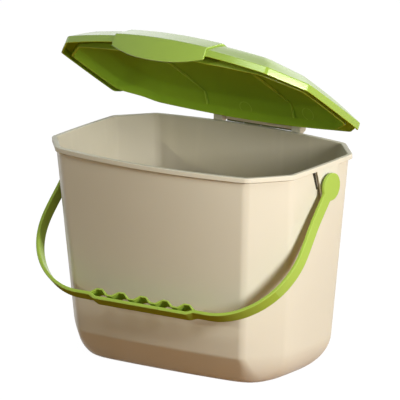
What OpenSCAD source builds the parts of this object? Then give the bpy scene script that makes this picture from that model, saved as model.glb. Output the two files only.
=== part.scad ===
// Compost caddy with a hinged lid and a swinging carrying handle.
// Frame: +X to the right along the long front side, front wall towards -Y,
// hinge side towards +Y, +Z up, origin at the centre of the face it stands on.

/* [Bin] */
// Width over the rim flange, side to side
rim_w = 300; // [280:1:320]
// Depth over the rim flange at the middle, front to back
rim_d = 204; // [190:1:220]
// Height from the floor to the top of the rim
bin_h = 225; // [210:1:240]
// Wall thickness of the bin
bin_wall = 2.4; // [2:0.1:3]
// Thickness of the bin's floor
bin_floor = 2.6; // [2:0.1:4]
// How far the rim flange stands out from the wall
flange_out = 2.3; // [2:0.1:3.5]
// Height of the rim flange
flange_h = 5; // [4:0.1:7]
// Bow of the rim's front side
front_bow = 12.6; // [8:0.1:14]
// Bow of the rim's back side
back_bow = 12.2; // [8:0.1:14]
// Corner cut of the front corners along X and along Y
front_cut = [31.5, 36.6]; // [24:0.1:40]
// Corner cut of the back corners along X and along Y
back_cut = [31.8, 34.6]; // [24:0.1:40]
// Inward lean of the side walls per millimetre of depth
side_taper = 0.074; // [0.05:0.001:0.09]
// Inward lean of the front corners per millimetre of depth
front_taper = 0.054; // [0.04:0.001:0.07]
// Inward lean of the back corners per millimetre of depth
back_taper = 0.065; // [0.04:0.001:0.08]

/* [Base] */
// Height of the bevel along the foot of the front wall
bevel_h = 30.5; // [20:0.5:35]
// How far the front bevel runs inward
bevel_in = 14.5; // [8:0.5:16]
// Height of the rounding along the foot of the other walls
round_h = 35; // [25:1:40]
// How far that rounding runs inward
round_in = 28; // [16:1:28]

/* [Handle] */
// Angle of the hanging handle below the horizontal
handle_drop = 48.2; // [44:0.2:50]
// Height of the handle's pivots above the floor
pivot_z = 201.9; // [196:0.1:203]
// Place of the handle's pivots along Y
pivot_y = 6; // [0:0.5:10]
// Width of the handle's strap
strap_w = 13.4; // [10:0.2:16]
// Thickness of the handle's strap
strap_t = 3.8; // [3:0.1:5]
// Distance from the pivots to the middle of the strap's lower stretch
strap_reach = 164.8; // [160:0.2:170]
// Radius of the round pivot ends of the strap
knob_r = 14.2; // [13:0.1:16]
// Radius of the pivot studs
stud_r = 4.5; // [4:0.25:5.5]
// Radial clearance of the studs in their bores
stud_gap = 0.06; // [0.03:0.01:0.1]
// Number of raised crests in the finger grip
grip_crests = 5; // [3:2:5]

/* [Lid] */
// Angle at which the lid stands open
lid_open = 32.8; // [20:0.2:40]
// Wall thickness of the lid
lid_wall = 1.8; // [1.5:0.1:2.2]
// How far the lid's skirt stands outside the rim at the sides
lid_over = 3.4; // [2.8:0.1:4]
// How far the lid's skirt hangs below the rim's top
skirt_drop = 4.6; // [3:0.1:6]
// Height of the lid's flat top above the rim
top_h = 17.3; // [14:0.1:20]
// Extra height of the lid's front edge at its middle
front_crown = 5.6; // [3:0.1:7]
// How far the inner plug reaches below the rim's top
plug_drop = 4.8; // [4:0.1:8]
// Half the width of the raised thumb flap
flap_half = 56.5; // [45:0.5:65]
// How far the thumb flap hangs below the rim's top at its middle
flap_drop = 15.5; // [10:0.5:18]

/* [Hinge] */
// Radius of the hinge rod
rod_r = 2.3; // [2:0.1:3]
// Half the length of the hinge rod between its end blocks
rod_half = 43.2; // [40:0.2:46]
// Radial clearance of the lid's clips on the rod
clip_gap = 0.08; // [0.03:0.01:0.1]
// Wall thickness of the clips
clip_t = 1.7; // [1.4:0.1:2]
// Width of each clip along the rod
clip_w = 18.6; // [8:0.2:19]

/* [Hidden] */
cream = [0.83, 0.79, 0.70];
lime = [0.55, 0.71, 0.22];
// straight steps along the sides of an outline, from the front side round to the front-left corner cut
SIDE_STEPS = [8, 1, 4, 4, 8, 4, 4, 1];
CORNER_STEPS = 3;
foot_bow = 3;
hinge_y = rim_d / 2 + 7.2;
hinge_z = bin_h + 1.8;
block_w = 11;
block_rise = 5.4;
notch_half = 19;
pad_r = 10.8;
pad_front = -8.8;
pad_back = 28;
pad_bite = 1;
pad_gap = 1.8;
pad_undercut = 4;
bore_floor_x = rim_w / 2 - 5;
front_edge = rim_d / 2 + 7.9;
lid_bow = front_bow + 6;
plug_clear = 1.3;
hub_r = 6.2;
knob_in = rim_w / 2 + 4.3;
knob_out = knob_in + strap_t;
strap_x = rim_w / 2 + 8.6;
splay_from = 38;
strap_straight = 84;
grip_half = 55;
grip_pitch = 27.1;
grip_plate = strap_reach + 3.4;
wave_mid = strap_reach - 3.6;
wave_amp = 2.6;
wave_t = 1.8;
rib_t = 1.4;
rib_x = 54;
clip_pitch = 21;
clip_from = -66;
clip_to = 156;
groove_roof = 1;
skirt_top = 2.5;
ceiling_foot = 4.9;
flap_t = 2;
band_up = 2;

// ---- outlines -------------------------------------------------------------------------
// An outline is [half width, front y, back y, front cut, back cut, front bow, back bow, side bow, radius].
// The y values are those of the corners; both are counted away from the centre.

function corner(before, at, after, radius) =
    let (a = at + (before - at) * min(0.42, radius * 0.45 / norm(before - at)))
    let (b = at + (after - at) * min(0.42, radius * 0.45 / norm(after - at)))
    [for (i = [0 : CORNER_STEPS])
        let (u = i / CORNER_STEPS)
        a * (1 - u) * (1 - u) + at * 2 * u * (1 - u) + b * u * u];

function corners(o) = [
    [-o[0] + o[3][0], -o[1]],
    [o[0] - o[3][0], -o[1]],
    [o[0], -o[1] + o[3][1]],
    [o[0], o[2] - o[4][1]],
    [o[0] - o[4][0], o[2]],
    [-o[0] + o[4][0], o[2]],
    [-o[0], o[2] - o[4][1]],
    [-o[0], -o[1] + o[3][1]]];

// 1 in the middle of a stretch and 0 at its ends, as a parabola
function arch(x, half) = abs(x) >= half ? 0 : 1 - pow(x / half, 2);

function bowed(p, o) =
    let (side_mid = ((o[2] - o[4][1]) + (-o[1] + o[3][1])) / 2)
    let (side_half = ((o[2] - o[4][1]) - (-o[1] + o[3][1])) / 2)
    [p[0] + sign(p[0]) * o[7] * arch(p[1] - side_mid, side_half),
     p[1] < 0 ? p[1] - o[5] * arch(p[0], o[0] - o[3][0]) : p[1] + o[6] * arch(p[0], o[0] - o[4][0])];

function outline(o) =
    let (v = corners(o))
    let (arcs = [for (i = [0 : 7]) corner(v[(i + 7) % 8], v[i], v[(i + 1) % 8], o[8])])
    [for (i = [0 : 7])
        let (from = arcs[i][CORNER_STEPS])
        let (to = arcs[(i + 1) % 8][0])
        each concat(
            [for (p = arcs[i]) bowed(p, o)],
            [for (k = [1 : 1 : SIDE_STEPS[i] - 1]) bowed(from + (to - from) * k / SIDE_STEPS[i], o)])];

function inset(o, d) = [o[0] - d, o[1] - d, o[2] - d, o[3] * (1 - d * 0.012), o[4] * (1 - d * 0.012),
                        o[5], o[6], o[7], max(o[8] - d / 2, 3)];

function at_height(points, z) = [for (p = points) [p[0], p[1], z]];

function blend(a, b, t) = a * (1 - t) + b * t;

// ---- solids from rings ----------------------------------------------------------------
// Rings run up the outside of a shell and down its inside; the first and the last are closed flat,
// each by one face, or by the faces in cap where a ring is too hollow for one.
module shell(rings, cap = []) {
    n = len(rings[0]);
    top = (len(rings) - 1) * n;
    first = len(cap) > 0 ? cap : [[for (j = [0 : n - 1]) j]];
    last = [for (face = first) [for (j = [len(face) - 1 : -1 : 0]) top + face[j]]];
    walls = [for (i = [0 : len(rings) - 2], j = [0 : n - 1])
        let (a = i * n + j)
        let (b = i * n + (j + 1) % n)
        each [[a, a + n, b + n], [a, b + n, b]]];
    polyhedron([for (r = rings) each r], concat(walls, first, last), convexity = 10);
}

// ---- bin ------------------------------------------------------------------------------
rim = [rim_w / 2, rim_d / 2 - front_bow, rim_d / 2 - back_bow, front_cut, back_cut,
       front_bow, back_bow, 1.2, 9];

// inward distance of a quarter ellipse at height z above its foot
function ellipse_in(z, h, d) = z >= h ? 0 : d * (1 - sqrt(1 - pow(1 - z / h, 2)));

function bevel_at(z) = z >= bevel_h ? 0 : bevel_in * (1 - z / bevel_h) + ellipse_in(z, 5, 4);

// outline of the outside of the walls at height z
function wall_at(z) =
    let (depth = bin_h - z)
    let (in = ellipse_in(z, round_h, round_in))
    let (foot = ellipse_in(z, round_h, 1))
    [rim[0] - flange_out - side_taper * depth - in,
     rim[1] - flange_out - front_taper * depth - bevel_at(z),
     rim[2] - flange_out - back_taper * depth - in,
     front_cut * (1 - 0.85 * foot),
     back_cut * (1 - 0.2 * foot),
     blend(foot_bow, front_bow, z / bin_h),
     blend(foot_bow, back_bow, z / bin_h),
     1.2,
     12 + 44 * foot];

module bin_shell() {
    outer_z = [0, 0.5, 2, 5, 9, 14, 20, bevel_h, round_h + 1, 75, 120, 165, bin_h - flange_h];
    inner_z = [bin_h - 2.4, 165, 120, 75, round_h + 2, bevel_h, 17, 11, 7, 4.6, bin_floor + 0.6, bin_floor];
    shell(concat(
        [for (z = outer_z) at_height(outline(wall_at(z)), z)],
        [at_height(outline(inset(rim, 0.3)), bin_h - flange_h),
         at_height(outline(rim), bin_h - flange_h + 0.4),
         at_height(outline(rim), bin_h - 0.8),
         at_height(outline(inset(rim, 0.8)), bin_h),
         at_height(outline(inset(rim, flange_out + bin_wall - 0.7)), bin_h),
         at_height(outline(inset(rim, flange_out + bin_wall)), bin_h - 1)],
        [for (z = inner_z) at_height(outline(inset(wall_at(max(z - bin_floor + 0.01, 0)), bin_wall)), z)]));
}

// side view of a pivot pad: it narrows from the flange down to a round end
module pad_profile() {
    top = bin_h - 1.5;
    hull() {
        translate([pad_front, bin_h - flange_h])
            square([pad_back - pad_front, top - (bin_h - flange_h)]);
        translate([pivot_y + 2, pivot_z - 4])
            circle(r = pad_r, $fn = 72);
    }
}

// everything further out than a plane that stands off the side wall's outside
module outside_wall(distance) {
    translate([rim[0] - flange_out + distance, 0, bin_h])
        rotate([0, atan(side_taper), 0])
            translate([0, -60, -120])
                cube([60, 120, 130]);
}

// pad that carries a pivot: a plate flush with the flange, on a smaller core rooted in the wall
module pivot_pad() {
    intersection() {
        translate([bore_floor_x - 4, 0, 0])
            rotate([90, 0, 90])
                linear_extrude(height = rim[0] - bore_floor_x + 4)
                    pad_profile();
        outside_wall(pad_gap);
    }
    intersection() {
        translate([bore_floor_x - 4, 0, 0])
            rotate([90, 0, 90])
                linear_extrude(height = rim[0] - bore_floor_x + 3)
                    offset(delta = -pad_undercut)
                        pad_profile();
        outside_wall(-pad_bite);
    }
}

// round rod behind the rim, held between two blocks that stand on the flange
module hinge_rod() {
    translate([-rod_half - 1, hinge_y, hinge_z])
        rotate([0, 90, 0])
            cylinder(h = 2 * rod_half + 2, r = rod_r, $fn = 48);
    for (side = [0, 1])
        mirror([side, 0, 0])
            translate([rod_half, 0, 0])
                rod_block();
}

module rod_block() {
    nose = rod_r + 0.6;
    front_y = rim_d / 2 - 0.9;
    foot_y = front_y - 3.1;
    rotate([90, 0, 90])
        linear_extrude(height = block_w)
            union() {
                translate([hinge_y, hinge_z])
                    circle(r = nose, $fn = 40);
                polygon([[foot_y, bin_h - flange_h + 0.4], [foot_y, bin_h - 0.6], [front_y, bin_h - 0.6],
                         [front_y, bin_h + block_rise - 0.4], [front_y + 1, bin_h + block_rise],
                         [hinge_y, hinge_z + nose], [hinge_y, hinge_z - nose],
                         [front_y + 1.5, bin_h - flange_h + 0.4]]);
            }
}

module bin() {
    front_y = -rim_d / 2;
    color(cream)
        difference() {
            union() {
                bin_shell();
                pivot_pad();
                mirror([1, 0, 0])
                    pivot_pad();
                hinge_rod();
            }
            // bores for the pivot studs, blind so that the bin stays tight
            for (side = [0, 1])
                mirror([side, 0, 0])
                    translate([bore_floor_x, pivot_y, pivot_z])
                        rotate([0, 90, 0])
                            cylinder(h = 20, r = stud_r + stud_gap, $fn = 64);
            // finger notch: a slanted cut in the front of the flange
            translate([-notch_half, 0, 0])
                rotate([90, 0, 90])
                    linear_extrude(height = 2 * notch_half)
                        polygon([[front_y - 3, bin_h + 1], [front_y + 2.2, bin_h + 1],
                                 [front_y + 2.2, bin_h], [front_y + 0.2, bin_h - 3.8],
                                 [front_y - 3, bin_h - 3.8]]);
        }
}

// ---- lid ------------------------------------------------------------------------------
skirt = [rim_w / 2 + lid_over, front_edge - lid_bow, rim_d / 2 - back_bow - 0.8, [30, 39.3], [30, 33],
         lid_bow, back_bow, 0.8, 6];
top_face = [rim_w / 2 - 24, 70, 68, [20, 38], [22, 34], 16, 9, 1, 14];
plug_rim = inset(rim, flange_out + bin_wall + plug_clear);
// the plug stands further from the rim on the hinge side, where it swings past it, and at the corners
plug = [plug_rim[0], plug_rim[1], plug_rim[2] - 3.5, plug_rim[3] * 1.07, plug_rim[4] * 1.07,
        plug_rim[5], plug_rim[6], plug_rim[7], 11];
ceiling_h = top_h - lid_wall - 0.1;

// rise of the lid's front half above its flat shape
function crown(p) = front_crown * arch(p[0], skirt[0] - skirt[3][0]) * pow(max(-p[1], 0) / front_edge, 1.5);

function crowned(points, z, share = 1) = [for (p = points) [p[0], p[1], z + share * crown(p)]];

// the skirt hangs beside the rim at the sides and front, and runs out above it along the back corners
function skirt_foot(p) =
    let (t = max(0, min(1, (p[1] - 57) / 10)))
    blend(-skirt_drop + crown(p), 0.5, t * t * (3 - 2 * t));

// the plug is shallower along the hinge side
function plug_foot(p) =
    let (t = max(0, min(1, (p[1] - 48) / 24)))
    -plug_drop + 2.4 * t * t * (3 - 2 * t);

function plug_ring(points) = [for (p = points) [p[0], p[1], plug_foot(p)]];

function foot_ring(points) = [for (p = points) [p[0], p[1], skirt_foot(p)]];

// One closed path of rings: out along the underside from the ceiling, down and up round the
// plug, across the groove that takes the rim, round the skirt and in over the top.
module lid_shell() {
    groove = inset(skirt, lid_wall);
    under = [
        at_height(outline(inset(top_face, 46)), ceiling_h + 1.6),
        crowned(outline(inset(top_face, 1)), ceiling_h),
        crowned(outline(inset(plug, lid_wall + 0.9)), ceiling_foot),
        plug_ring(outline(inset(plug, lid_wall + 0.2))),
        plug_ring(outline(inset(plug, 0.2))),
        crowned(outline(plug), groove_roof),
        crowned(outline(groove), groove_roof),
        foot_ring(outline(groove))];
    over = [
        foot_ring(outline(skirt)),
        crowned(outline(skirt), 1.4),
        crowned(outline(inset(skirt, 0.4)), 2.1),
        crowned(outline(inset(skirt, 1.3)), skirt_top),
        crowned(outline(blend(inset(skirt, 1.3), top_face, 0.5)), blend(skirt_top, top_h, 0.53)),
        crowned(outline(top_face), top_h),
        crowned(outline(inset(top_face, 20)), top_h + 0.9),
        at_height(outline(inset(top_face, 46)), top_h + 1.7)];
    translate([0, 0, bin_h])
        shell(concat(under, over));
}

// Profile of the thumb flap at x, in the y-z plane: it hangs outside the skirt, turns over the
// front edge and runs up the bevel as a raised band to the flat top.
function flap_profile(x) =
    let (edge = -front_edge + lid_bow * (1 - arch(x, skirt[0] - skirt[3][0])))
    let (rise = front_crown * arch(x, skirt[0] - skirt[3][0]))
    let (face_y = -top_face[1] - top_face[5] * arch(x, top_face[0] - top_face[3][0]))
    let (face_z = top_h + crown([x, face_y]))
    let (tip = -flap_drop + 9.3 * pow(abs(x) / 54, 2.2))
    [[x, edge + flap_t / 2, tip],
     [x, edge + flap_t / 2, 1.2 + rise],
     [x, edge + 2, 1.5 + rise],
     [x, edge + 3, 1.8 + rise],
     [x, face_y - 1, face_z - 3.2],
     [x, face_y + 2, face_z - 1],
     [x, face_y + 20, face_z - 1],
     [x, face_y + 19, face_z + 1.3],
     [x, face_y + 1, face_z + band_up],
     [x, face_y - 1.5, face_z + band_up - 0.8],
     [x, edge + 1.6, 4.6 + rise],
     [x, edge - 0.2, 3.6 + rise],
     [x, edge - flap_t / 2, 2.2 + rise],
     [x, edge - flap_t / 2, tip]];

module thumb_flap() {
    steps = 16;
    // each end is closed by the strips between opposite points of the profile
    strips = [for (i = [0 : 5]) [i, i + 1, 12 - i, 13 - i]];
    translate([0, 0, bin_h])
        shell([for (i = [0 : steps]) flap_profile(flap_half * (2 * i / steps - 1))], strips);
}

// stiffening rib under the ceiling, bent where the bevel meets the flat top
module ceiling_rib() {
    front_y = -top_face[1] - top_face[5] * 0.75;
    back_y = top_face[2] + top_face[6] * 0.6;
    translate([rib_x - rib_t / 2, 0, bin_h])
        rotate([90, 0, 90])
            linear_extrude(height = rib_t)
                polygon([[front_y - 6, ceiling_foot + 3.5], [front_y + 3, ceiling_h + 0.4],
                         [0, ceiling_h - 1.2], [back_y - 2, ceiling_h - 1.6], [back_y + 10, ceiling_foot - 1],
                         [back_y + 13, ceiling_foot + 2], [back_y, ceiling_h + 1], [0, ceiling_h + 2],
                         [front_y + 3, ceiling_h + 3.4], [front_y - 8, ceiling_foot + 6]]);
}

// open clip that snaps over the hinge rod from behind, with the tab that carries it
module hinge_clip() {
    inner_r = rod_r + clip_gap;
    outer_r = inner_r + clip_t;
    back_y = rim_d / 2;
    mouth = [for (a = [clip_to : 4 : clip_from + 360]) [hinge_y + 9 * cos(a), hinge_z + 9 * sin(a)]];
    translate([-clip_w / 2, 0, 0])
        union() {
            difference() {
                translate([0, hinge_y, hinge_z])
                    rotate([0, 90, 0])
                        cylinder(h = clip_w, r = outer_r, $fn = 64);
                translate([-1, hinge_y, hinge_z])
                    rotate([0, 90, 0])
                        cylinder(h = clip_w + 2, r = inner_r, $fn = 64);
                // mouth of the clip, narrower than the rod
                translate([-1, 0, 0])
                    rotate([90, 0, 90])
                        linear_extrude(height = clip_w + 2)
                            polygon(concat([[hinge_y, hinge_z]], mouth));
            }
            rotate([90, 0, 90])
                linear_extrude(height = clip_w)
                    polygon([[back_y - 5.5, bin_h + 1.9], [back_y - 2.4, bin_h + 1.2],
                             [hinge_y + outer_r * cos(clip_to) + 0.3, hinge_z + outer_r * sin(clip_to) - 0.2],
                             [hinge_y + (inner_r + 0.3) * cos(120), hinge_z + (inner_r + 0.3) * sin(120)],
                             [hinge_y, hinge_z + inner_r + 0.5], [hinge_y, hinge_z + outer_r - 0.05],
                             [back_y + 2.6, bin_h + 5.4], [back_y - 5.5, bin_h + 3.6]]);
        }
}

// the lid as it lies shut on the rim
module lid_shut() {
    lid_shell();
    thumb_flap();
    for (side = [0, 1])
        mirror([side, 0, 0])
            ceiling_rib();
    for (i = [-1.5 : 1.5])
        translate([i * clip_pitch, 0, 0])
            hinge_clip();
}

module lid() {
    color(lime)
        translate([0, hinge_y, hinge_z])
            rotate([-lid_open, 0, 0])
                translate([0, -hinge_y, -hinge_z])
                    lid_shut();
}

// ---- handle ---------------------------------------------------------------------------
// The handle is drawn in its own plane: x across, y out from the pivots, z across the strap.

function bezier(a, b, c, d, t) =
    a * pow(1 - t, 3) + b * 3 * t * pow(1 - t, 2) + c * 3 * t * t * (1 - t) + d * pow(t, 3);

// place of an arm across the handle, y out from its pivot: the arms splay a little below the knobs
function arm_x(y) =
    let (t = max(0, min(1, (y - splay_from) / (strap_straight - splay_from))))
    blend(knob_in + strap_t / 2, strap_x, t * t * (3 - 2 * t));

// middle line of the strap's right half, from the pivot round to the grip
function strap_half() = concat(
    [for (y = [0, splay_from / 2, splay_from]) [arm_x(y), y]],
    [for (i = [1 : 5]) let (y = blend(splay_from, strap_straight, i / 6)) [arm_x(y), y]],
    [for (i = [0 : 18])
        bezier([strap_x, strap_straight], [strap_x, strap_straight + 50],
               [strap_x - 40, strap_reach], [strap_x - 78, strap_reach], i / 18)],
    [[grip_half + 11, strap_reach], [grip_half + 9.5, strap_reach + 0.3],
     [grip_half + 1.5, grip_plate - 0.3], [grip_half, grip_plate]]);

function mirrored(points) = [for (i = [len(points) - 1 : -1 : 0]) [-points[i][0], points[i][1]]];

// middle line of the wavy finger strip: flat-topped crests towards the pivots
function wave_line() = [for (i = [0 : 80])
    let (x = grip_pitch * grip_crests * (i / 80 - 0.5))
    [x, wave_mid - wave_amp * max(-1, min(1, 1.35 * cos(360 * x / grip_pitch)))]];

function side_of(points, i) =
    let (ahead = points[min(i + 1, len(points) - 1)] - points[max(i - 1, 0)])
    [-ahead[1], ahead[0]] / norm(ahead);

// flat ribbon of thickness t along a line of points
module ribbon(points, t) {
    last = len(points) - 1;
    polygon(concat(
        [for (i = [0 : last]) points[i] + side_of(points, i) * t / 2],
        [for (i = [last : -1 : 0]) points[i] - side_of(points, i) * t / 2]));
}

module knob_along_x(x0, x1, radius) {
    translate([x0, 0, 0])
        rotate([0, 90, 0])
            cylinder(h = x1 - x0, r = radius, $fn = 96);
}

module handle() {
    color(lime)
        translate([0, pivot_y, pivot_z])
            rotate([180 + handle_drop, 0, 0]) {
                linear_extrude(height = strap_w, center = true)
                    union() {
                        ribbon(concat(strap_half(), mirrored(strap_half())), strap_t);
                        ribbon(wave_line(), wave_t);
                    }
                for (side = [0, 1])
                    mirror([side, 0, 0]) {
                        knob_along_x(knob_in, knob_out, knob_r);
                        knob_along_x(rim_w / 2 + 0.4, knob_in + 1, hub_r);
                        knob_along_x(bore_floor_x + 0.5, rim_w / 2 + 1, stud_r);
                    }
            }
}

bin();
lid();
handle();
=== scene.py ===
import math
from collections import namedtuple

import bmesh
import bpy
from mathutils import Matrix, Vector


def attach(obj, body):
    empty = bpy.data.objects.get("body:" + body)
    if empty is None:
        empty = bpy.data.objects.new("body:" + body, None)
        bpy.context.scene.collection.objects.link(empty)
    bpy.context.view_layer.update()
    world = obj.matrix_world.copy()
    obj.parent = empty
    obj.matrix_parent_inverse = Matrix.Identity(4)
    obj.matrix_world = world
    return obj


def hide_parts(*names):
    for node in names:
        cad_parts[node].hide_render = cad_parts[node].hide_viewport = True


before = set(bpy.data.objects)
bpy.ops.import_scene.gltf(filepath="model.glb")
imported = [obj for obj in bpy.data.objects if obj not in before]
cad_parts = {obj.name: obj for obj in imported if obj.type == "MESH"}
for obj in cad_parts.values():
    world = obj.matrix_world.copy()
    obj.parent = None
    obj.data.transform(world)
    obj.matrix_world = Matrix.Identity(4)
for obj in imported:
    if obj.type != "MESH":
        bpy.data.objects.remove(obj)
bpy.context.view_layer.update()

# A kitchen compost caddy: a drafted eight-sided bin, a lid held open on its hinge rod and a
# hanging bail handle. Sizes are in millimetres in the CAD's frame, as in part.scad, and angles in
# degrees.
MM = 0.001

# bin: the rim's outer width and depth, the height, and the walls
RIM_W, RIM_D, BIN_H = 300, 204, 225
WALL, FLOOR = 2.4, 2.6
# rim flange, the shadow groove under it, and the finger notch in its front
FLANGE_OUT, FLANGE_H = 2.3, 5
GROOVE_IN, GROOVE_H = 0.8, 1.4
NOTCH_HALF, NOTCH_DROP = 19, 4.6
# how far the front and back bow out at the rim, all walls at the foot, and the sides
FRONT_BOW, BACK_BOW, FOOT_BOW, SIDE_BOW = 12.6, 12.2, 3, 1.2
# cut corners of the rim, each as its length across and its length along
FRONT_CUT, BACK_CUT = (31.5, 36.6), (31.8, 34.6)
# inward slope of the walls, per unit of depth below the rim
SIDE_TAPER, FRONT_TAPER, BACK_TAPER = 0.074, 0.054, 0.065
# foot: bevel of the front, round of the sides and back, and what the front corners get of it
BEVEL_H, BEVEL_IN = 30.5, 14.5
ROUND_H, ROUND_IN, CHAMFER_IN = 35, 28, 18

# handle: its angle below level as it hangs, its pivots, and the knobs and hubs on them
HANDLE_DROP, PIVOT_Y, PIVOT_Z = 48.2, 6, 201.9
KNOB_R, KNOB_X, HUB_R = 14.2, 156.2, 6.2
# strap: section, reach from the pivots, and the stretch of the arms that splays
STRAP_W, STRAP_T, STRAP_REACH, STRAP_X = 13.4, 3.8, 164.8, 158.6
SPLAY_FROM, STRAP_STRAIGHT = 38, 84
# grip: half length, the reach of its plate, the step up to it, and the wavy finger strip
GRIP_HALF, GRIP_PLATE, GRIP_STEP = 55, 168.2, 11
GRIP_PITCH, GRIP_CRESTS = 27.1, 5
WAVE_MID, WAVE_AMP, WAVE_T = 161.2, 2.6, 1.8
# pivot pads: round end, the ends of the edge at the rim, and the stand-off from the wall
PAD_R, PAD_FRONT, PAD_BACK = 10.8, -12, 28
PAD_GAP, PAD_UNDERCUT, PAD_PROUD = 2.9, 6, 1
# where a pad's round end sits from its pivot, and its upper edge from the rim
PAD_BACKWARD, PAD_BELOW, PAD_FROM_TOP = 2, 4, 2.2
# heights of the ends of the painted slot shade beside each pad
SLOT_SHADE_TOP, SLOT_SHADE_FOOT = 219.4, 200.2

# lid: angle it is held open, its shell, and its skirt, flat top and inner plug
LID_OPEN, LID_WALL, LID_OVER = 32.8, 1.8, 3.4
SKIRT_DROP, TOP_H, FRONT_CROWN = 5.4, 17.3, 5.6
PLUG_DROP, PLUG_CLEAR = 5.4, 1.3
# where the skirt's and the plug's lower edges rise towards the hinge, and by how much the plug's
SKIRT_RAMP, PLUG_RAMP, PLUG_RISE = (57, 67), (48, 72), 2.4
# reach of the skirt's front edge at the middle, its bow, and the gap behind it
FRONT_EDGE, LID_BOW, SKIRT_BACK_GAP = 109.9, 18.6, 0.8
# thumb flap, the raised band above it, and how its lower edge curves up away from the middle
FLAP_HALF, FLAP_DROP, FLAP_T, BAND_UP = 56.5, 15.5, 2, 2
FLAP_RISE, FLAP_RISE_AT = 9.3, 54
# hinge: axis, rod and its end blocks, and the clips with the arc that they cover
HINGE_Y, HINGE_Z = 109.2, 226.8
ROD_R, ROD_HALF, BLOCK_W, BLOCK_RISE = 2.3, 43.2, 11, 5.4
CLIP_GAP, CLIP_T, CLIP_W, CLIP_PITCH = 0.08, 1.7, 20.4, 21.4
CLIPS, CLIP_FROM, CLIP_TO = 4, -66, 156
# ceiling ribs, and the ring that each ejector pin leaves
RIB_X, RIB_T = 54, 1.0
MARK_PLACES, MARK_R, MARK_T, MARK_UP = ((-8, 86), (73, 79)), 7.3, 0.5, 0.15

# segments along each of an outline's eight sides, and round each of its corners
SIDE_STEPS = (60, 6, 26, 8, 60, 8, 26, 6)
CORNER_STEPS = 8

# faint texture of the plastic: noise cells per metre, and how strongly they show
GRAIN, GRAIN_BUMP = 700, 0.05


# ---- outlines ---------------------------------------------------------------------------
Outline = namedtuple(
    "Outline", "half_width front_y back_y front_cut back_cut front_bow back_bow side_bow radius"
)


def mix(a, b, t):
    """a at t 0 and b at t 1, for numbers, tuples and outlines."""
    if isinstance(a, (int, float)):
        return a * (1 - t) + b * t
    values = [mix(x, y, t) for x, y in zip(a, b)]
    return type(a)(*values) if hasattr(a, "_fields") else tuple(values)


def arch(x, half):
    """1 in the middle of a stretch and 0 at its ends, as a parabola."""
    return 0.0 if abs(x) >= half else 1 - (x / half) ** 2


def smoothstep(value, low, high):
    """0 below low and 1 above high, with a soft S between."""
    t = max(0.0, min(1.0, (value - low) / (high - low)))
    return t * t * (3 - 2 * t)


def corner_points(outline):
    """The outline's eight straight-sided corners, counter-clockwise from the front-left one."""
    w, f, b = outline.half_width, outline.front_y, outline.back_y
    (fx, fy), (bx, by) = outline.front_cut, outline.back_cut
    right = [(w - fx, -f), (w, -f + fy), (w, b - by), (w - bx, b)]
    left = [(-x, y) for x, y in reversed(right)]
    return [Vector(p) for p in [left[-1]] + right + left[:-1]]


def bowed(point, outline):
    """Moves a point of the straight-sided outline out onto its bowed side."""
    x, y = point
    side_front = -outline.front_y + outline.front_cut[1]
    side_back = outline.back_y - outline.back_cut[1]
    swell = outline.side_bow * arch(y - (side_front + side_back) / 2, (side_back - side_front) / 2)
    if y < 0:
        y -= outline.front_bow * arch(x, outline.half_width - outline.front_cut[0])
    else:
        y += outline.back_bow * arch(x, outline.half_width - outline.back_cut[0])
    return Vector((x + math.copysign(swell, x), y))


def curve_through(a, at, b, steps):
    """Points of the quadratic curve from a to b that is pulled towards at."""
    turns = [i / steps for i in range(steps + 1)]
    return [a * (1 - u) ** 2 + at * (2 * u * (1 - u)) + b * u**2 for u in turns]


def trace(outline):
    """The outline as a closed list of 2-D points, counter-clockwise from its front-left corner."""
    corners = corner_points(outline)
    arcs = []
    for i, at in enumerate(corners):
        ends = []
        for other in (corners[i - 1], corners[(i + 1) % 8]):
            side = other - at
            ends.append(at + side * min(0.42, outline.radius * 0.45 / side.length))
        arcs.append(curve_through(ends[0], at, ends[1], CORNER_STEPS))
    points = []
    for i, arc in enumerate(arcs):
        start, end = arc[-1], arcs[(i + 1) % 8][0]
        points += arc
        points += [start.lerp(end, k / SIDE_STEPS[i]) for k in range(1, SIDE_STEPS[i])]
    return [bowed(p, outline) for p in points]


def inset(outline, d):
    """The outline moved inward by d, with its cut corners slightly shorter."""
    shrink = 1 - d * 0.012
    return outline._replace(
        half_width=outline.half_width - d,
        front_y=outline.front_y - d,
        back_y=outline.back_y - d,
        front_cut=tuple(c * shrink for c in outline.front_cut),
        back_cut=tuple(c * shrink for c in outline.back_cut),
        radius=max(outline.radius - d / 2, 3),
    )


def ring(outline, height):
    """The outline as 3-D points; height is a number or a function of each 2-D point."""
    points = trace(outline)
    if callable(height):
        return [Vector((p.x, p.y, height(p))) for p in points]
    return [Vector((p.x, p.y, height)) for p in points]


def rounded(rings, radii, steps=3):
    """The rings with each profile corner replaced by a small curve of about that radius."""
    out = []
    for i, (points, radius) in enumerate(zip(rings, radii)):
        if not radius:
            out.append(points)
            continue
        before, after = rings[i - 1], rings[i + 1]
        arcs = []
        for a, at, b in zip(before, points, after):
            start = at + (a - at) * min(0.45, radius / max((a - at).length, 1e-6))
            end = at + (b - at) * min(0.45, radius / max((b - at).length, 1e-6))
            arcs.append(curve_through(start, at, end, steps))
        out += [list(column) for column in zip(*arcs)]
    return out


# ---- mesh helpers -----------------------------------------------------------------------
def add_mesh(name, points, faces, body, turn=None):
    """A mesh piece from points in millimetres, which rides on a body; turn is a last 4x4 move."""
    mesh = bpy.data.meshes.new(name)
    mesh.from_pydata([p * MM for p in points], [], faces)
    bm = bmesh.new()
    bm.from_mesh(mesh)
    bmesh.ops.remove_doubles(bm, verts=bm.verts, dist=1e-7)
    bmesh.ops.recalc_face_normals(bm, faces=bm.faces)
    bm.to_mesh(mesh)
    bm.free()
    if turn:
        mesh.transform(turn)
    obj = bpy.data.objects.new(name, mesh)
    bpy.context.scene.collection.objects.link(obj)
    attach(obj, body)
    return obj


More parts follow.
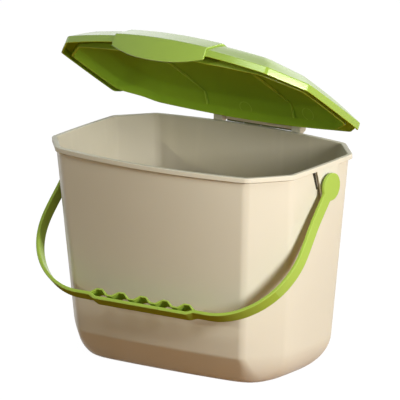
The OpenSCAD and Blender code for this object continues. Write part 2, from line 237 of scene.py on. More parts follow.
def loft(rings, capped=True):
    """(points, faces) of the skin over a stack of rings; capped closes its first and last."""
    n = len(rings[0])
    points = [p for r in rings for p in r]
    faces = []
    for i in range(len(rings) - 1):
        for j in range(n):
            a, b = i * n + j, i * n + (j + 1) % n
            faces.append((a, b, b + n, a + n))
    if capped:
        faces += [tuple(range(n))[::-1], tuple(range(len(points) - n, len(points)))]
    return points, faces


def join(*parts):
    """One (points, faces) from several."""
    points, faces = [], []
    for part_points, part_faces in parts:
        shift = len(points)
        points += part_points
        faces += [tuple(i + shift for i in face) for face in part_faces]
    return points, faces


def prism(profile, x0, x1):
    """A flat profile in the Y-Z plane, drawn out from x0 to x1."""
    return loft([[Vector((x, y, z)) for y, z in profile] for x in (x0, x1)])


def disc(centre_y, centre_z, radius, steps=48):
    """A circle in the Y-Z plane, as a profile for prism."""
    turns = (2 * math.pi * i / steps for i in range(steps))
    return [(centre_y + radius * math.cos(t), centre_z + radius * math.sin(t)) for t in turns]


def bevel(obj, width, segments=2, angle=35):
    """Rounds the piece's sharp edges."""
    modifier = obj.modifiers.new("bevel", "BEVEL")
    modifier.width = width * MM
    modifier.segments = segments
    modifier.limit_method = "ANGLE"
    modifier.angle_limit = math.radians(angle)


def smooth(obj, angle=40):
    """Bakes the modifiers in and shades the piece smooth except across real edges."""
    depsgraph = bpy.context.evaluated_depsgraph_get()
    mesh = bpy.data.meshes.new_from_object(obj.evaluated_get(depsgraph))
    obj.modifiers.clear()
    obj.data = mesh
    mesh.shade_smooth()
    mesh.set_sharp_from_angle(angle=math.radians(angle))
    obj.modifiers.new("normals", "WEIGHTED_NORMAL").keep_sharp = True


def cut(obj, cutter):
    """Cuts a prism, given as (points, faces), out of the piece."""
    mesh = bpy.data.meshes.new("cutter")
    mesh.from_pydata([p * MM for p in cutter[0]], [], cutter[1])
    tool = bpy.data.objects.new("cutter", mesh)
    bpy.context.scene.collection.objects.link(tool)
    modifier = obj.modifiers.new("cut", "BOOLEAN")
    modifier.operation = "DIFFERENCE"
    modifier.solver = "EXACT"
    modifier.object = tool
    depsgraph = bpy.context.evaluated_depsgraph_get()
    result = bpy.data.meshes.new_from_object(obj.evaluated_get(depsgraph))
    obj.modifiers.clear()
    obj.data = result
    bpy.data.objects.remove(tool)


# ---- materials --------------------------------------------------------------------------
def plastic(name, colour, wear_and_highlight_colour, roughness, gloss, gloss_tint, streaks=0.0):
    """Injection-moulded polypropylene: faint mottling, fine grain, soft paler edges that are partly
    wear and partly a painted highlight.
    """
    material = bpy.data.materials.new(name)
    material.use_nodes = True
    nodes, links = material.node_tree.nodes, material.node_tree.links
    shader = nodes["Principled BSDF"]
    shader.inputs["IOR"].default_value = 1.49
    shader.inputs["Specular IOR Level"].default_value = gloss
    shader.inputs["Specular Tint"].default_value = (*gloss_tint, 1)
    shader.inputs["Subsurface Weight"].default_value = 0.08
    shader.inputs["Subsurface Radius"].default_value = (1.0, 0.9, 0.5)
    shader.inputs["Subsurface Scale"].default_value = 0.003
    place = nodes.new("ShaderNodeTexCoord")

    def noise(scale, detail=3.0, upright=1.0):
        node = nodes.new("ShaderNodeTexNoise")
        node.inputs["Scale"].default_value = scale
        node.inputs["Detail"].default_value = detail
        stretch = nodes.new("ShaderNodeMapping")
        stretch.inputs["Scale"].default_value = (1, 1, upright)
        links.new(place.outputs["Object"], stretch.inputs["Vector"])
        links.new(stretch.outputs["Vector"], node.inputs["Vector"])
        return node

    def remap(source, low, high, from_low=0.3, from_high=0.7):
        node = nodes.new("ShaderNodeMapRange")
        node.inputs["From Min"].default_value = from_low
        node.inputs["From Max"].default_value = from_high
        node.inputs["To Min"].default_value = low
        node.inputs["To Max"].default_value = high
        links.new(source, node.inputs["Value"])
        return node.outputs["Result"]

    flow = noise(9.0)
    shade = nodes.new("ShaderNodeMix")
    shade.data_type = "RGBA"
    shade.inputs["A"].default_value = (*[c * 0.95 for c in colour], 1)
    shade.inputs["B"].default_value = (*[min(c * 1.04, 1) for c in colour], 1)
    links.new(flow.outputs["Fac"], shade.inputs["Factor"])
    drawn = nodes.new("ShaderNodeMix")
    drawn.data_type = "RGBA"
    drawn.inputs["B"].default_value = (*wear_and_highlight_colour, 1)
    links.new(shade.outputs["Result"], drawn.inputs["A"])
    upright_streaks = noise(45.0, 2.0, 0.02)
    links.new(remap(upright_streaks.outputs["Fac"], 0.0, streaks, 0.55, 0.68), drawn.inputs["Factor"])
    # paler edges from pointiness: worn edges, and on the lime a painted highlight along the strap's
    # ridge
    edge = nodes.new("ShaderNodeNewGeometry")
    edge_wear_and_highlight = nodes.new("ShaderNodeMix")
    edge_wear_and_highlight.data_type = "RGBA"
    edge_wear_and_highlight.inputs["B"].default_value = (*wear_and_highlight_colour, 1)
    links.new(drawn.outputs["Result"], edge_wear_and_highlight.inputs["A"])
    links.new(remap(edge.outputs["Pointiness"], 0.0, 0.35, 0.52, 0.62), edge_wear_and_highlight.inputs["Factor"])
    links.new(edge_wear_and_highlight.outputs["Result"], shader.inputs["Base Color"])
    sheen = remap(noise(40.0).outputs["Fac"], roughness * 0.85, roughness * 1.2)
    links.new(sheen, shader.inputs["Roughness"])
    fine = nodes.new("ShaderNodeBump")
    fine.inputs["Strength"].default_value = GRAIN_BUMP
    fine.inputs["Distance"].default_value = 0.0004
    links.new(noise(GRAIN, 2.0).outputs["Fac"], fine.inputs["Height"])
    links.new(fine.outputs["Normal"], shader.inputs["Normal"])
    return material


# each colour is followed by the paler one of its edges, its roughness, its gloss and the tint of that;
# the paler edges are wear, and on the lime also a painted highlight along the strap's ridge; the other
# entries are painted light and shade on the same mouldings: painted shade inside the bin, on the
# handle's downward faces and on the hinge clips, a brighter matt green as painted light under the lid,
# a pale green painted highlight on its ribs, marks and plug edge, and near-black painted slot shade
WARM_GLOSS, LEAF_GLOSS = (1, 0.9, 0.7), (0.5, 0.8, 0.2)
CREAM = plastic("cream_plastic", (0.655, 0.61, 0.47), (0.74, 0.67, 0.51), 0.4, 0.13, WARM_GLOSS)
# painted shade: near-black, for the thin sheets that stand in for a deep slot beside each pivot pad
PAINTED_SLOT_SHADE = plastic("painted_slot_shade", (0.03, 0.025, 0.015), (0.05, 0.04, 0.025), 0.6, 0.0, WARM_GLOSS)
# painted shade: the bin's inside, a darker copy of the cream with paler upright streaks
INSIDE_SHADE = plastic("inside_painted_shade", (0.55, 0.49, 0.355), (0.68, 0.61, 0.46), 0.4, 0.12, WARM_GLOSS, 0.22)
# the lime's paler edge colour is also a painted highlight along the strap's ridge
LIME = plastic("lime_plastic", (0.345, 0.475, 0.07), (0.62, 0.76, 0.34), 0.2, 0.08, (0.9, 1, 0.6))
# painted shade: the handle's downward faces, a darker copy of the lime
SHADED = plastic("shaded_lime", (0.31, 0.42, 0.05), (0.42, 0.55, 0.10), 0.3, 0.0, (0.9, 1, 0.6))
GREEN = plastic("green_plastic", (0.275, 0.40, 0.03), (0.42, 0.56, 0.12), 0.2, 0.8, (0.9, 1, 0.75))
# painted light: the faces under the lid, a brighter matt copy of the green
UNDERSIDE_LIGHT = plastic("underside_painted_light", (0.34, 0.52, 0.035), (0.45, 0.64, 0.08), 0.3, 0.0, LEAF_GLOSS)
# painted shade: the hinge clips, a near-black copy of the lid's green
CLIP_SHADE = plastic("clip_painted_shade", (0.13, 0.15, 0.07), (0.2, 0.24, 0.1), 0.3, 0.1, (0.8, 0.9, 0.6))
# painted highlight: pale green for the ceiling ribs, the ejector marks and the plug's lower edge
RIB_HIGHLIGHT = plastic("rib_painted_highlight", (0.52, 0.70, 0.08), (0.60, 0.78, 0.12), 0.3, 0.0, LEAF_GLOSS)


def finish_piece(obj, material):
    """Gives the piece its material, in place of any that it had."""
    obj.data.materials.clear()
    obj.data.materials.append(material)


def shade_inside(shell):
    """Paints the faces that look into the bin a darker cream, as painted shade, with paler upright
    streaks.
    """
    shell.data.materials.append(INSIDE_SHADE)
    for face in shell.data.polygons:
        towards_middle = face.normal.x * face.center.x + face.normal.y * face.center.y < 0
        if towards_middle and FLOOR < face.center.z / MM < BIN_H - 0.5:
            face.material_index = 1


def shade_underside(shell):
    """Paints the faces under the lid a brighter matt green as painted light, and its lower edges a
    paler green as a painted highlight.
    """
    shell.data.materials.append(UNDERSIDE_LIGHT)
    shell.data.materials.append(RIB_HIGHLIGHT)
    shut = OPEN.inverted()
    for face in shell.data.polygons:
        centre, normal = shut @ face.center, shut.to_3x3() @ face.normal
        towards_middle = normal.x * centre.x + normal.y * centre.y < 0
        if normal.z < -0.6 and centre.z / MM < BIN_H - 1.2:
            face.material_index = 2
        elif normal.z < -0.3 or (towards_middle and normal.z < 0.3):
            face.material_index = 1


def shade_downward(handle):
    """Paints the handle's faces that look down, as it hangs, a darker lime, as painted shade."""
    handle.data.materials.append(SHADED)
    for face in handle.data.polygons:
        face.material_index = 1 if face.normal.z < -0.4 else 0


# ---- bin --------------------------------------------------------------------------------
RIM = Outline(
    RIM_W / 2,
    RIM_D / 2 - FRONT_BOW,
    RIM_D / 2 - BACK_BOW,
    FRONT_CUT,
    BACK_CUT,
    FRONT_BOW,
    BACK_BOW,
    SIDE_BOW,
    radius=9,
)


def ellipse_in(z, height, depth):
    """Inward distance of a quarter ellipse at height z above its foot."""
    return 0.0 if z >= height else depth * (1 - math.sqrt(1 - (1 - z / height) ** 2))


def bevel_in(z):
    """Inward distance of the front bevel, with a softened upper edge."""
    slope = BEVEL_IN * (1 - z / BEVEL_H)
    return (slope + math.sqrt(slope * slope + 0.3)) / 2 + ellipse_in(z, 5, 4)


def wall_at(z):
    """The bin's outer outline at height z, below the flange."""
    depth = BIN_H - z
    inward = ellipse_in(z, ROUND_H, ROUND_IN)
    foot = ellipse_in(z, ROUND_H, 1)
    (fx, fy), bevel_now = FRONT_CUT, bevel_in(z)
    slid = inward * fy + bevel_now * fx - ellipse_in(z, ROUND_H, CHAMFER_IN) * math.hypot(fx, fy)
    keep = 1 - slid / (fx * fy)
    return Outline(
        RIM.half_width - FLANGE_OUT - SIDE_TAPER * depth - inward,
        RIM.front_y - FLANGE_OUT - FRONT_TAPER * depth - bevel_now,
        RIM.back_y - FLANGE_OUT - BACK_TAPER * depth - inward,
        (fx * keep, fy * keep),
        tuple(c * (1 - 0.2 * foot) for c in BACK_CUT),
        mix(FOOT_BOW, FRONT_BOW, z / BIN_H),
        mix(FOOT_BOW, BACK_BOW, z / BIN_H),
        SIDE_BOW,
        radius=12 + 44 * foot,
    )


def foot_heights():
    """Heights that follow the rounded foot, close together where the wall turns."""
    turn = [ROUND_H * (1 - math.cos(math.radians(a))) for a in range(0, 91, 5)]
    return sorted(turn + [BEVEL_H - 2, BEVEL_H - 1, BEVEL_H, BEVEL_H + 1, BEVEL_H + 2, ROUND_H + 3])


def build_bin():
    """The bin's shell: up the outside, over the flange and down the inside to the floor."""
    heights = (60, 90, 120, 150, 180, 205)
    outer = [(wall_at(z), z) for z in foot_heights()]
    outer += [(wall_at(z), z) for z in heights]
    flange_foot = BIN_H - FLANGE_H
    groove_foot = flange_foot - GROOVE_H
    groove = inset(wall_at(flange_foot), GROOVE_IN)
    flange = [
        (wall_at(groove_foot), groove_foot, 0.2),
        (groove, groove_foot + 0.2, 0),
        (groove, flange_foot, 0.2),
        (RIM, flange_foot + 0.1, 0.5),
        (RIM, BIN_H, 0.7),
        (inset(RIM, FLANGE_OUT + WALL), BIN_H, 1.0),
        (inset(wall_at(BIN_H - 4), WALL), BIN_H - 4, 0),
    ]
    inner = [(inset(wall_at(z), WALL), z) for z in reversed(heights)]
    low = [z for z in foot_heights() if z > 0][::-1]
    inner += [(inset(wall_at(z), WALL), z + FLOOR * (1 - z / (ROUND_H + 3))) for z in low]
    rings = [ring(o, z) for o, z, *_ in outer + flange + inner]
    radii = [0] * len(outer) + [r for _, _, r in flange] + [0] * len(inner)
    shell = add_mesh("bin_shell", *loft(rounded(rings, radii)), "bin")
    # slanted finger notch in the front of the flange
    front = -RIM_D / 2
    notch = [(-3, 1), (2.7, 1), (2.7, 0), (1.1, -NOTCH_DROP), (-3, -NOTCH_DROP)]
    cut(shell, prism([(front + y, BIN_H + z) for y, z in notch], -NOTCH_HALF, NOTCH_HALF))
    smooth(shell, 35)
    finish_piece(shell, CREAM)
    shade_inside(shell)
    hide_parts("bin")


def pad_profile(shrink):
    """Side view of a pivot pad: it narrows from the flange down to a round end."""
    radius = PAD_R - shrink
    centre = Vector((PIVOT_Y + PAD_BACKWARD, PIVOT_Z - PAD_BELOW))
    top = BIN_H - PAD_FROM_TOP
    corners = [Vector((PAD_FRONT + shrink, top)), Vector((PAD_BACK - shrink, top))]
    turns = []
    for corner, side in zip(corners, (1, -1)):
        away = corner - centre
        turns.append(math.atan2(away.y, away.x) + side * math.acos(radius / away.length))
    start, end = turns[0], turns[1] + 2 * math.pi
    steps = 32
    round_end = [start + (end - start) * i / steps for i in range(steps + 1)]
    arc = [centre + radius * Vector((math.cos(t), math.sin(t))) for t in round_end]
    return [corners[0]] + arc + [corners[1]]


def build_pivot_pads():
    """Plates just proud of the flange, each on a smaller core, that carry the handle's pivots."""
    face_x = RIM_W / 2 + PAD_PROUD

    def wall_x(z):
        return RIM_W / 2 - FLANGE_OUT - SIDE_TAPER * (BIN_H - z)

    plate, core = pad_profile(0), pad_profile(PAD_UNDERCUT)
    for side, name in ((-1, "pivot_pad_left"), (1, "pivot_pad_right")):
        front = [[Vector((side * (wall_x(p.y) + PAD_GAP), p.x, p.y)) for p in plate]]
        front += [[Vector((side * face_x, p.x, p.y)) for p in plate]]
        depths = (-1, PAD_GAP + 0.3)
        root = [[Vector((side * (wall_x(p.y) + x), p.x, p.y)) for p in core] for x in depths]
        pad = add_mesh(name, *join(loft(front), loft(root)), "bin")
        bevel(pad, 0.35)
        smooth(pad)
        finish_piece(pad, CREAM)
    # a thin near-black sheet just proud of the wall beside each plate: painted shade that stands in for
    # a deep slot, not a recess
    outline = [(-15.6, SLOT_SHADE_TOP), (-11, SLOT_SHADE_TOP), (-4.6, SLOT_SHADE_FOOT), (-7.2, SLOT_SHADE_FOOT)]
    for side, name in ((-1, "painted_slot_shade_left"), (1, "painted_slot_shade_right")):
        layers = [[Vector((side * (wall_x(z) + x), y, z)) for y, z in outline] for x in (0.2, 1.25)]
        shade_sheet = add_mesh(name, *loft(layers), "bin")
        smooth(shade_sheet)
        finish_piece(shade_sheet, PAINTED_SLOT_SHADE)


def build_hinge_rod():
    """The rod and the two blocks on the rim that hold its ends."""
    rod_end = ROD_HALF + 1
    rod = add_mesh("hinge_rod", *prism(disc(HINGE_Y, HINGE_Z, ROD_R), -rod_end, rod_end), "bin")
    smooth(rod)
    finish_piece(rod, CREAM)
    nose = ROD_R + 0.6
    front_y = RIM_D / 2 - 0.9
    foot_y = front_y - 3.1
    turns = [math.radians(a) for a in range(90, -91, -15)]
    profile = [(foot_y, BIN_H - FLANGE_H + 0.4), (foot_y, BIN_H - 0.6), (front_y, BIN_H - 0.6)]
    profile += [(front_y, BIN_H + BLOCK_RISE - 0.4), (front_y + 1, BIN_H + BLOCK_RISE)]
    profile += [(HINGE_Y + nose * math.cos(t), HINGE_Z + nose * math.sin(t)) for t in turns]
    profile += [(front_y + 1.5, BIN_H - FLANGE_H + 0.4)]
    spans = ((-ROD_HALF - BLOCK_W, -ROD_HALF), (ROD_HALF, ROD_HALF + BLOCK_W))
    blocks = add_mesh("hinge_blocks", *join(*[prism(profile, *span) for span in spans]), "bin")
    bevel(blocks, 0.35)
    smooth(blocks)
    finish_piece(blocks, CREAM)


# ---- lid --------------------------------------------------------------------------------
SKIRT = Outline(
    RIM_W / 2 + LID_OVER,
    FRONT_EDGE - LID_BOW,
    RIM_D / 2 - BACK_BOW - SKIRT_BACK_GAP,
    front_cut=(30, 39.3),
    back_cut=(30, 33),
    front_bow=LID_BOW,
    back_bow=BACK_BOW,
    side_bow=0.8,
    radius=6,
)
TOP = Outline(
    RIM_W / 2 - 24,
    front_y=70,
    back_y=68,
    front_cut=(20, 38),
    back_cut=(22, 34),
    front_bow=16,
    back_bow=9,
    side_bow=1,
    radius=14,
)
PLUG_RIM = inset(RIM, FLANGE_OUT + WALL + PLUG_CLEAR)
PLUG = PLUG_RIM._replace(
    back_y=PLUG_RIM.back_y - 3.5,
    front_cut=tuple(c * 1.07 for c in PLUG_RIM.front_cut),
    back_cut=tuple(c * 1.07 for c in PLUG_RIM.back_cut),
    radius=11,
)
CEILING_H = TOP_H - LID_WALL - 0.1
CEILING_FOOT, GROOVE_ROOF, SKIRT_TOP = 4.9, 1.0, 2.5

# the lid is drawn shut and turned open about the hinge rod
HINGE = Vector((0, HINGE_Y, HINGE_Z)) * MM
OPEN = (
    Matrix.Translation(HINGE)
    @ Matrix.Rotation(math.radians(-LID_OPEN), 4, "X")
    @ Matrix.Translation(-HINGE)
)


def crown(p):
    """Rise of the lid's front half above its flat shape."""
    half = SKIRT.half_width - SKIRT.front_cut[0]
    return FRONT_CROWN * arch(p[0], half) * (max(-p[1], 0) / FRONT_EDGE) ** 1.5


def crowned(z):
    """A height above the rim that rises with the crown."""
    return lambda p: BIN_H + z + crown(p)


def level(z):
    """A height above the rim that is the same all round."""
    return lambda p: BIN_H + z


def skirt_foot(p):
    """Lower edge of the skirt: it rises to the rim's level at the back, clear of the hinge."""
    return BIN_H + mix(-SKIRT_DROP + crown(p), 0.5, smoothstep(p.y, *SKIRT_RAMP))


def plug_foot(p):
    """Lower edge of the plug: a little higher at the back."""
    return BIN_H - PLUG_DROP + PLUG_RISE * smoothstep(p.y, *PLUG_RAMP)


def build_lid_shell():
    """One closed skin: ceiling, plug, the groove that takes the rim, skirt and domed top."""
    groove = inset(SKIRT, LID_WALL)
    shoulder = inset(SKIRT, 1.3)
    sections = [
        (inset(TOP, 46), level(CEILING_H + 1.6), 0),
        (inset(TOP, 24), crowned(CEILING_H + 0.9), 8),
        (inset(TOP, 1), crowned(CEILING_H), 5),
        (inset(PLUG, LID_WALL + 0.9), crowned(CEILING_FOOT), 1.5),
        (inset(PLUG, LID_WALL + 0.2), plug_foot, 0.5),
        (inset(PLUG, 0.2), plug_foot, 0.5),
        (PLUG, crowned(GROOVE_ROOF), 0.5),
        (groove, crowned(GROOVE_ROOF), 0.5),
        (groove, skirt_foot, 0.5),
        (SKIRT, skirt_foot, 0.5),
        (SKIRT, crowned(1.8), 0.9),
        (shoulder, crowned(SKIRT_TOP), 1.2),
        (mix(shoulder, TOP, 0.5), crowned(mix(SKIRT_TOP, TOP_H, 0.53)), 6),
        (TOP, crowned(TOP_H), 5),
        (inset(TOP, 20), crowned(TOP_H + 0.9), 8),
        (inset(TOP, 46), level(TOP_H + 1.7), 0),
    ]
    rings = rounded([ring(o, z) for o, z, _ in sections], [r for _, _, r in sections], 4)
    shell = add_mesh("lid_shell", *loft(rings), "lid", OPEN)
    smooth(shell, 35)
    finish_piece(shell, GREEN)
    shade_underside(shell)
    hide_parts("lid")


def flap_profile(x):
    """Section of the thumb flap and its raised band at x."""
    half = SKIRT.half_width - SKIRT.front_cut[0]
    edge = -FRONT_EDGE + LID_BOW * (1 - arch(x, half))
    rise = FRONT_CROWN * arch(x, half)
    face_y = -TOP.front_y - TOP.front_bow * arch(x, TOP.half_width - TOP.front_cut[0])
    face_z = TOP_H + crown((x, face_y))
    tip = -FLAP_DROP + FLAP_RISE * (abs(x) / FLAP_RISE_AT) ** 2.2
    return [
        (edge + FLAP_T / 2, tip),
        (edge + FLAP_T / 2, 1.2 + rise),
        (edge + 3, 1.8 + rise),
        (face_y + 2, face_z - 1),
        (face_y + 20, face_z - 1),
        (face_y + 19, face_z + 1.3),
        (face_y + 1, face_z + BAND_UP),
        (face_y - 1.5, face_z + BAND_UP - 0.8),
        (edge + 1.6, 4.6 + rise),
        (edge - 0.2, 3.6 + rise),
        (edge - FLAP_T / 2, 2.2 + rise),
        (edge - FLAP_T / 2, tip),
    ]


def build_thumb_flap():
    """The flap that hangs from the lid's front edge, and the band that runs up onto its top."""
    steps = 64
    rings = []
    for i in range(steps + 1):
        x = FLAP_HALF * (2 * i / steps - 1)
        rings.append([Vector((x, y, BIN_H + z)) for y, z in flap_profile(x)])
    flap = add_mesh("thumb_flap", *loft(rings), "lid", OPEN)
    bevel(flap, 0.6, 3, 30)
    smooth(flap, 45)
    finish_piece(flap, GREEN)


def build_ceiling_ribs():
    """Two thin ribs that run from front to back along the lid's ceiling."""
    front_y = -TOP.front_y - TOP.front_bow * 0.75
    back_y = TOP.back_y + TOP.back_bow * 0.6
    profile = [
        (front_y - 6, CEILING_FOOT + 3.5),
        (front_y + 3, CEILING_H + 0.4),
        (0, CEILING_H - 0.6),
        (back_y - 2, CEILING_H - 0.9),
        (back_y + 10, CEILING_FOOT - 1),
        (back_y + 13, CEILING_FOOT + 2),
        (back_y, CEILING_H + 1),
        (0, CEILING_H + 2),
        (front_y + 3, CEILING_H + 3.4),
        (front_y - 8, CEILING_FOOT + 6),
    ]
    profile = [(y, BIN_H + z) for y, z in profile]
    for side, name in ((-1, "ceiling_rib_left"), (1, "ceiling_rib_right")):
        middle = side * RIB_X
        solid = prism(profile, middle - RIB_T / 2, middle + RIB_T / 2)
        rib = add_mesh(name, *solid, "lid", OPEN)
        bevel(rib, 0.3)
        smooth(rib)
        # the rib is painted the pale green highlight
        finish_piece(rib, RIB_HIGHLIGHT)


def build_ejector_marks():
    """Two faint round ridges that the mould's pins leave on the ceiling."""
    shell = bpy.data.objects["lid_shell"]
    marks = []
    inner_r, root = MARK_R - MARK_T, -0.4
    section = [(MARK_R, root), (MARK_R, MARK_UP), (inner_r, MARK_UP), (inner_r, root), (MARK_R, root)]
    turns = [2 * math.pi * i / 48 for i in range(48)]
    for x, y in MARK_PLACES:
        start = OPEN @ (Vector((x, y, BIN_H + 6)) * MM)
        _, spot, normal, _ = shell.ray_cast(start, OPEN.to_3x3() @ Vector((0, 0, 1)))
        across = normal.orthogonal().normalized()
        along = normal.cross(across)
        rings = [
            [spot / MM + (across * math.cos(t) + along * math.sin(t)) * r + normal * h for t in turns]
            for r, h in section
        ]
        marks.append(loft(rings, capped=False))
    obj = add_mesh("ejector_marks", *join(*marks), "lid")
    smooth(obj)
    # the marks are painted the pale green highlight
    finish_piece(obj, RIB_HIGHLIGHT)


def build_hinge_clips():
    """Four hooks round the back of the rod, each with the tab that carries it."""
    inner = ROD_R + CLIP_GAP
    outer = inner + CLIP_T
    back_y = RIM_D / 2

    def on_rod(radius, degrees):
        t = math.radians(degrees)
        return HINGE_Y + radius * math.cos(t), HINGE_Z + radius * math.sin(t)

    tab = [(back_y - 5.5, BIN_H + 3.6), (back_y - 5.5, BIN_H + 1.9), (back_y - 2.4, BIN_H + 1.2)]
    hook = [on_rod(outer, CLIP_TO)] + [on_rod(inner, a) for a in range(CLIP_TO, CLIP_FROM - 1, -4)]
    hook += [on_rod(outer, a) for a in range(CLIP_FROM, 91, 4)]
    profile = tab + hook + [(back_y + 2.6, BIN_H + 5.4)]
    places = [CLIP_PITCH * (i - (CLIPS - 1) / 2) for i in range(CLIPS)]
    clips = [prism(profile, x - CLIP_W / 2, x + CLIP_W / 2) for x in places]
    obj = add_mesh("hinge_clips", *join(*clips), "lid", OPEN)
    bevel(obj, 0.2)
    smooth(obj)
    # the clips are painted the near-black shade
    finish_piece(obj, CLIP_SHADE)


# ---- handle -----------------------------------------------------------------------------
# drawn in its own plane: x across, y out from the pivots, z across the strap
HANDLE = (
    Matrix.Translation(Vector((0, PIVOT_Y, PIVOT_Z)) * MM)
    @ Matrix.Rotation(math.radians(180 + HANDLE_DROP), 4, "X")
)


def bezier(a, b, c, d, t):
    """Point of a cubic curve from a to d that is pulled towards b and c."""
    s = 1 - t
    return a * s**3 + b * (3 * s * s * t) + c * (3 * s * t * t) + d * t**3


def arm_x(y):
    """Place of an arm across the handle: the arms splay a little below the knobs."""
    return mix(KNOB_X, STRAP_X, smoothstep(y, SPLAY_FROM, STRAP_STRAIGHT))


def strap_line():
    """Middle line of the strap from the left knob's far side round the grip to the right one's."""
    heights = [-KNOB_R * math.cos(math.radians(a)) for a in range(0, 91, 6)]
    corner = [11 + i / 2 for i in range(7)]
    heights += [*range(2, 11, 2), *corner, 15, 17, *range(20, 69, 6), 76]
    start = [Vector((arm_x(y), y)) for y in heights]
    handles = [(STRAP_X, STRAP_STRAIGHT), (STRAP_X, STRAP_STRAIGHT + 50)]
    handles += [(STRAP_X - 40, STRAP_REACH), (STRAP_X - 78, STRAP_REACH)]
    sweep = [bezier(*[Vector(h) for h in handles], i / 48) for i in range(49)]
    step_from = GRIP_HALF + GRIP_STEP
    step_up = [
        Vector((x, mix(STRAP_REACH, GRIP_PLATE, smoothstep(-x, -step_from, -GRIP_HALF))))
        for x in [step_from - GRIP_STEP * i / 12 for i in range(13)]
    ]
    flat = [Vector((x, GRIP_PLATE)) for x in (50, 44, 36, 28, 20, 10)]
    half = start + sweep + step_up + flat
    return [Vector((-p.x, p.y)) for p in half] + [Vector((0, GRIP_PLATE))] + half[::-1]


def strap_half_width(y):
    """Half the strap's width: a round knob that meets the strap in a tight hollow corner."""
    narrow = STRAP_W / 2
    knob_end = math.sqrt(KNOB_R**2 - narrow**2)
    blend_from, blend_to = knob_end - 1.0, knob_end + 1.4
    if y < blend_from:
        return math.sqrt(max(KNOB_R**2 - y * y, 0.01))
    if y < blend_to:
        at = math.sqrt(KNOB_R**2 - blend_from**2)
        t = (y - blend_from) / (blend_to - blend_from)
        return narrow + (at - narrow) * (1 - t) ** 2
    return narrow


def ribbon(line, thickness, half_width, fillet):
    """A strip with rounded edges along a line in the handle's plane."""
    rings = []
    for i, p in enumerate(line):
        ahead = line[min(i + 1, len(line) - 1)] - line[max(i - 1, 0)]
        out = Vector((-ahead.y, ahead.x)).normalized()
        half = half_width(p)
        r = min(fillet, half * 0.9, thickness * 0.49)
        section = []
        for k, (su, sv) in enumerate(((1, 1), (-1, 1), (-1, -1), (1, -1))):
            for step in range(5):
                t = math.radians(90 * k + 22.5 * step)
                u = su * (thickness / 2 - r) + r * math.cos(t)
                v = sv * (half - r) + r * math.sin(t)
                section.append(Vector((p.x + out.x * u, p.y + out.y * u, v)))
        rings.append(section)
    return loft(rings)


def build_handle():
    """The strap with its knobs, grip plate and finger strip, and a hub inside each knob."""
    strap = ribbon(strap_line(), STRAP_T, lambda p: strap_half_width(p.y), 0.9)
    wave = []
    for i in range(201):
        x = GRIP_PITCH * GRIP_CRESTS * (i / 200 - 0.5)
        lift = max(-1, min(1, 1.35 * math.cos(2 * math.pi * x / GRIP_PITCH)))
        wave.append(Vector((x, WAVE_MID - WAVE_AMP * lift)))
    strip = ribbon(wave, WAVE_T, lambda p: STRAP_W / 2 - 0.1, 0.5)
    obj = add_mesh("handle_strap", *join(strap, strip), "handle", HANDLE)
    smooth(obj, 50)
    finish_piece(obj, LIME)
    shade_downward(obj)
    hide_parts("handle")
    for side, name in ((-1, "pivot_hub_left"), (1, "pivot_hub_right")):
        rings = [
            [Vector((side * x, y, z)) for y, z in disc(0, 0, r, 64)]
            for x, r in ((RIM_W / 2 + 0.4, HUB_R), (KNOB_X - STRAP_T / 2 + 0.4, HUB_R))
        ]
        hub = add_mesh(name, *loft(rings), "handle", HANDLE)
        bevel(hub, 0.4)
        smooth(hub)
        finish_piece(hub, LIME)


build_bin()
build_pivot_pads()
build_hinge_rod()
build_lid_shell()
build_thumb_flap()
build_ceiling_ribs()
build_ejector_marks()
build_hinge_clips()
build_handle()


# ---- floor and light --------------------------------------------------------------------
def background_rays(nodes, links):
    """A socket that is 1 for the rays that should see the plain white background."""
    path = nodes.new("ShaderNodeLightPath")
    total = path.outputs["Is Camera Ray"]
    for name in ("Is Glossy Ray", "Is Transmission Ray"):
        both = nodes.new("ShaderNodeMath")
        both.operation = "MAXIMUM"
        links.new(total, both.inputs[0])
        links.new(path.outputs[name], both.inputs[1])
        total = both.outputs["Value"]
    return total


def floor_material(seen_glow, seen_colour, bounce_colour):
    """White to the camera and to reflections, with the object's shadow, and a warm bounce."""
    material = bpy.data.materials.new("floor")
    material.use_nodes = True
    nodes, links = material.node_tree.nodes, material.node_tree.links
    nodes.clear()
    glow = nodes.new("ShaderNodeEmission")
    glow.inputs["Strength"].default_value = seen_glow
    seen = nodes.new("ShaderNodeBsdfDiffuse")
    seen.inputs["Color"].default_value = (*seen_colour, 1)
    white = nodes.new("ShaderNodeAddShader")
    links.new(glow.outputs["Emission"], white.inputs[0])
    links.new(seen.outputs["BSDF"], white.inputs[1])
    bounce = nodes.new("ShaderNodeBsdfDiffuse")
    bounce.inputs["Color"].default_value = (*bounce_colour, 1)
    choose = nodes.new("ShaderNodeMixShader")
    links.new(background_rays(nodes, links), choose.inputs["Fac"])
    links.new(bounce.outputs["BSDF"], choose.inputs[1])
    links.new(white.outputs["Shader"], choose.inputs[2])
    output = nodes.new("ShaderNodeOutputMaterial")
    links.new(choose.outputs["Shader"], output.inputs["Surface"])
    return material


# the studio's sizes are in metres
STUDIO_HALF, STUDIO_CORNERS = 6, ((-1, -1), (1, -1), (1, 1), (-1, 1))
floor_mesh = bpy.data.meshes.new("floor")
floor_points = [(x * STUDIO_HALF, y * STUDIO_HALF, 0) for x, y in STUDIO_CORNERS]
floor_mesh.from_pydata(floor_points, [], [(0, 1, 2, 3)])
floor = bpy.data.objects.new("floor", floor_mesh)
bpy.context.scene.collection.objects.link(floor)
floor_mesh.materials.append(
    floor_material(
        seen_glow=0.98,
        seen_colour=(0.08, 0.08, 0.08),
        bounce_colour=(0.34, 0.13, 0.0),
    )
)

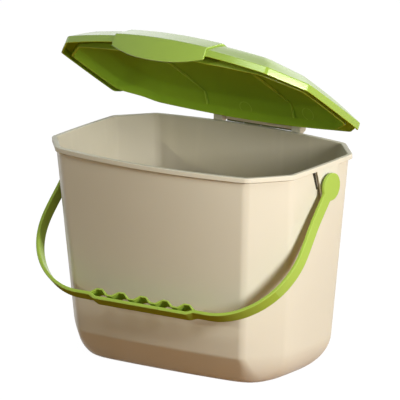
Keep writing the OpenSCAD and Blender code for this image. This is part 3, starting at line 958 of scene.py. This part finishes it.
world = bpy.data.worlds.new("studio")
bpy.context.scene.world = world
world.use_nodes = True
sky_nodes, sky_links = world.node_tree.nodes, world.node_tree.links
sky_nodes.clear()
seen_sky = sky_nodes.new("ShaderNodeBackground")
seen_sky.inputs["Color"].default_value = (1, 1, 1, 1)
lit_sky = sky_nodes.new("ShaderNodeBackground")
lit_sky.inputs["Color"].default_value = (1.0, 0.98, 0.95, 1)
lit_sky.inputs["Strength"].default_value = 0.01
choose_sky = sky_nodes.new("ShaderNodeMixShader")
sky_output = sky_nodes.new("ShaderNodeOutputWorld")
sky_links.new(background_rays(sky_nodes, sky_links), choose_sky.inputs["Fac"])
sky_links.new(lit_sky.outputs["Background"], choose_sky.inputs[1])
sky_links.new(seen_sky.outputs["Background"], choose_sky.inputs[2])
sky_links.new(choose_sky.outputs["Shader"], sky_output.inputs["Surface"])


LAMP_AIM = Vector((0, 0, 0.15))


def softbox(name, azimuth, elevation, distance, size, power, colour):
    """A soft lamp aimed at the object; azimuth 0 is in front of it and 90 on its right."""
    lamp = bpy.data.lights.new(name, "AREA")
    lamp.shape = "RECTANGLE"
    lamp.size, lamp.size_y = size
    lamp.energy = power
    lamp.color = colour
    obj = bpy.data.objects.new(name, lamp)
    bpy.context.scene.collection.objects.link(obj)
    a, e = math.radians(azimuth), math.radians(elevation)
    away = Vector((math.sin(a) * math.cos(e), -math.cos(a) * math.cos(e), math.sin(e)))
    obj.location = LAMP_AIM + away * distance
    obj.rotation_mode = "QUATERNION"
    obj.rotation_quaternion = away.to_track_quat("Z", "Y")


softbox("key", 74.5, 17.5, 1.4, (0.32, 0.32), 21.8, (0.93, 0.95, 1.0))
softbox("low_right", 58, 4, 1.8, (0.3, 0.3), 1.7, (0.92, 0.95, 1.0))
softbox("left_spot", -28, 18, 2.0, (0.08, 0.08), 5.6, (0.98, 1.0, 0.85))
softbox("high_front", 14, 55, 1.6, (0.7, 0.5), 7.5, (0.96, 1.0, 1.0))
softbox("back", 165, 28, 1.6, (0.6, 0.5), 9, (1.0, 0.99, 0.97))
softbox("back_sky", -145, 13, 2.0, (1.4, 0.6), 1.6, (0.96, 0.99, 1.0))
softbox("left_sky", -78, 16, 1.6, (0.5, 0.3), 3.5, (0.4, 0.55, 0.9))

# ---- camera -----------------------------------------------------------------------------
AZIMUTH, ELEVATION, ROLL = math.radians(34.877), math.radians(14.485), math.radians(-0.365)
TARGET = Vector((-1.441, 0, 166.84)) * MM
DISTANCE, SENSOR, LENS = 8.0, 36, 702.54
away = Vector(
    (
        math.sin(AZIMUTH) * math.cos(ELEVATION),
        -math.cos(AZIMUTH) * math.cos(ELEVATION),
        math.sin(ELEVATION),
    )
)
camera = bpy.data.objects.new("camera", bpy.data.cameras.new("camera"))
bpy.context.scene.collection.objects.link(camera)
camera.data.sensor_width = SENSOR
camera.data.lens = LENS
camera.data.clip_end = 50
camera.location = TARGET + away * DISTANCE
camera.rotation_mode = "QUATERNION"
roll = Matrix.Rotation(ROLL, 3, "Z").to_quaternion()
camera.rotation_quaternion = (-away).to_track_quat("-Z", "Y") @ roll
bpy.context.scene.camera = camera
bpy.context.scene.view_settings.view_transform = "Standard"
